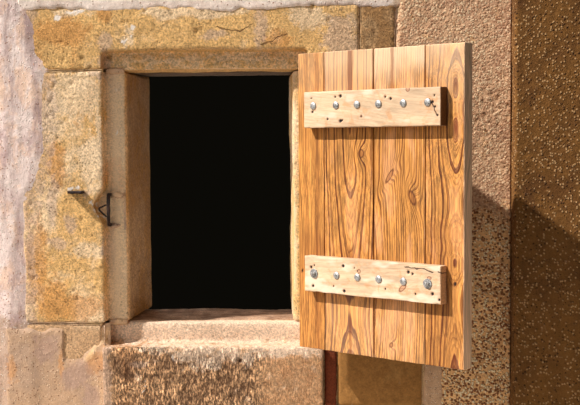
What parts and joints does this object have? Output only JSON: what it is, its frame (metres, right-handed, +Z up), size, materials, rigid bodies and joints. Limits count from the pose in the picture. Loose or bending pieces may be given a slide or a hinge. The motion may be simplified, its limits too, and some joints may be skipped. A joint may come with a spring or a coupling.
{
  "type": "dovecote window with plank shutter",
  "caption": "Bay of a dovecote's stone wall with its square window: rebated stone surround, sill, and a hinged plank shutter on iron pintles, standing open.",
  "frame": {"origin": "on the underside of the base course, below the middle of the window, at mid-thickness of the wall", "axes": "+Z up, +X along the wall to the right seen from outside, -Y out of the wall towards the viewer"},
  "size_m": [1.92, 0.7512, 1.46],
  "materials": {
    "rubble": "rough",
    "ochre_stone": "rough",
    "beige_stone": "rough",
    "brown_stone": "rough",
    "sill_stone": "rough",
    "red_brick": "rough",
    "plaster": "matt",
    "roughcast": "rough",
    "mortar": "matt",
    "old_timber": "weathered",
    "pine": "sawn",
    "batten_pine": "sawn",
    "wrought_iron": "rusty",
    "strap_iron": "matt black",
    "zinc_steel": "zinc plated"
  },
  "bodies": {
    "wall": {"base_left": "rubble", "base_middle": "rubble", "base_right": "rubble", "wall_left": "rubble", "wall_right": "rubble", "wall_above": "rubble", "pier": "roughcast", "left_jamb_lower": "ochre_stone", "left_corner_block": "ochre_stone", "upright_slip": "red_brick", "right_corner_block": "beige_stone", "lintel_end_stone": "brown_stone", "timber_lintel_outer": "old_timber", "timber_lintel_inner": "old_timber", "lintel": "ochre_stone", "sill": "sill_stone", "left_jamb": "ochre_stone", "right_jamb": "ochre_stone", "plaster_left": "plaster", "roughcast_right": "roughcast", "mortar_band": "mortar", "latch_staple": "wrought_iron", "latch_keeper": "wrought_iron", "iron_stub": "wrought_iron", "pintle_upper": "wrought_iron", "pintle_lower": "wrought_iron"},
    "shutter": {"board_1": "pine", "board_2": "pine", "board_3": "pine", "board_4": "pine", "batten_upper": "batten_pine", "batten_lower": "batten_pine", "strap_upper": "strap_iron", "strap_lower": "strap_iron", "bolts_upper": "zinc_steel", "bolts_lower": "zinc_steel"}
  },
  "joints": [
    {"name": "shutter_hinge", "type": "hinge", "parent": "wall", "child": "shutter", "pos_m": [0.29, -0.18808, 0.8], "axis": [0, 0, 1], "range_deg": [-142.5, 33.5]}
  ]
}
